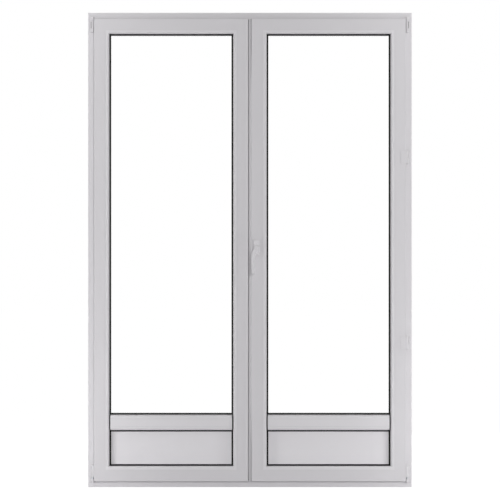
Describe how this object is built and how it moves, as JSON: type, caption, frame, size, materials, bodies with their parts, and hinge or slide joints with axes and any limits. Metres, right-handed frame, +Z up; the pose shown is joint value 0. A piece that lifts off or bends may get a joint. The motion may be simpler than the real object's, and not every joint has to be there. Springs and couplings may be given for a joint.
{
  "type": "double balcony door",
  "caption": "White plastic double balcony door in its frame, glazed above a low panel, with black gaskets, a lever handle, hinges and a working locking bar.",
  "frame": {"origin": "middle of the underside of the sill, halfway through the frame depth", "axes": "+X to the right seen from the room, +Y outdoors, +Z up"},
  "size_m": [1.5, 0.143, 2.2],
  "materials": {
    "white_pvc": "satin",
    "white_panel": "satin",
    "white_plastic": "moulded",
    "white_hinge": "powder coated",
    "white_handle": "powder coated",
    "galvanised_steel": "galvanised",
    "zinc_plated_steel": "zinc plated",
    "spacer_aluminium": "mill",
    "black_seal": "matt",
    "packer_plastic": "moulded",
    "clear_glass": "float"
  },
  "bodies": {
    "frame": {"left_jamb": "white_pvc", "right_jamb": "white_pvc", "head": "white_pvc", "sill": "white_pvc", "frame_steels": "galvanised_steel", "stop_seal": "black_seal", "bolt_strikes": "zinc_plated_steel", "drain_caps": "white_plastic", "left_hinge_brackets": "white_hinge", "right_hinge_brackets": "white_hinge", "hinge_pins": "zinc_plated_steel"},
    "left_leaf": {"left_astragal": "white_pvc", "left_astragal_caps": "white_plastic", "left_astragal_seal": "black_seal", "left_beads": "white_pvc", "left_bottom_rail": "white_pvc", "left_cam_keeps": "zinc_plated_steel", "left_glass_panes": "clear_glass", "left_glass_spacer": "spacer_aluminium", "left_glazing_packers": "packer_plastic", "left_hinge_arms": "white_hinge", "left_hinge_stile": "white_pvc", "left_inner_gaskets": "black_seal", "left_lip_seal": "black_seal", "left_meeting_stile": "white_pvc", "left_mid_rail": "white_pvc", "left_mid_rail_end_seals": "black_seal", "left_outer_gaskets": "black_seal", "left_panel": "white_panel", "left_steels": "galvanised_steel", "left_top_rail": "white_pvc"},
    "right_leaf": {"right_beads": "white_pvc", "right_bottom_rail": "white_pvc", "right_faceplate": "zinc_plated_steel", "right_gearbox_case": "zinc_plated_steel", "right_glass_panes": "clear_glass", "right_glass_spacer": "spacer_aluminium", "right_glazing_packers": "packer_plastic", "right_hinge_arms": "white_hinge", "right_hinge_stile": "white_pvc", "right_inner_gaskets": "black_seal", "right_lip_seal": "black_seal", "right_meeting_stile": "white_pvc", "right_mid_hinges": "white_hinge", "right_mid_rail": "white_pvc", "right_mid_rail_end_seals": "black_seal", "right_outer_gaskets": "black_seal", "right_panel": "white_panel", "right_rosette": "white_handle", "right_steels": "galvanised_steel", "right_top_rail": "white_pvc"},
    "handle": {"handle_lever": "white_handle", "handle_spindle": "zinc_plated_steel", "drive_gear": "zinc_plated_steel"},
    "drive_bar_set": {"drive_bar": "zinc_plated_steel", "drive_rack": "zinc_plated_steel"},
    "upper_bolt": {"left_top_bolt": "zinc_plated_steel"},
    "lower_bolt": {"left_bottom_bolt": "zinc_plated_steel"}
  },
  "joints": [
    {"name": "left_leaf_hinge", "type": "hinge", "parent": "frame", "child": "left_leaf", "pos_m": [-0.729, -0.042, 1.1], "axis": [0, 0, -1], "range_deg": [0, 100]},
    {"name": "right_leaf_hinge", "type": "hinge", "parent": "frame", "child": "right_leaf", "pos_m": [0.729, -0.042, 1.1], "axis": [0, 0, 1], "range_deg": [0, 100]},
    {"name": "handle_turn", "type": "hinge", "parent": "right_leaf", "child": "handle", "pos_m": [0.031, -0.053, 1.112], "axis": [0, -1, 0], "range_deg": [0, 90]},
    {"name": "drive_bar_slide", "type": "slide", "parent": "right_leaf", "child": "drive_bar_set", "axis": [0, 0, 1], "range_m": [0, 0.01886]},
    {"name": "upper_bolt_slide", "type": "slide", "parent": "left_leaf", "child": "upper_bolt", "axis": [0, 0, -1], "range_m": [0, 0.018]},
    {"name": "lower_bolt_slide", "type": "slide", "parent": "left_leaf", "child": "lower_bolt", "axis": [0, 0, 1], "range_m": [0, 0.018]}
  ],
  "couplings": [
    {"joint": "drive_bar_slide", "follows": "handle_turn", "m_per_rad": 0.012}
  ]
}
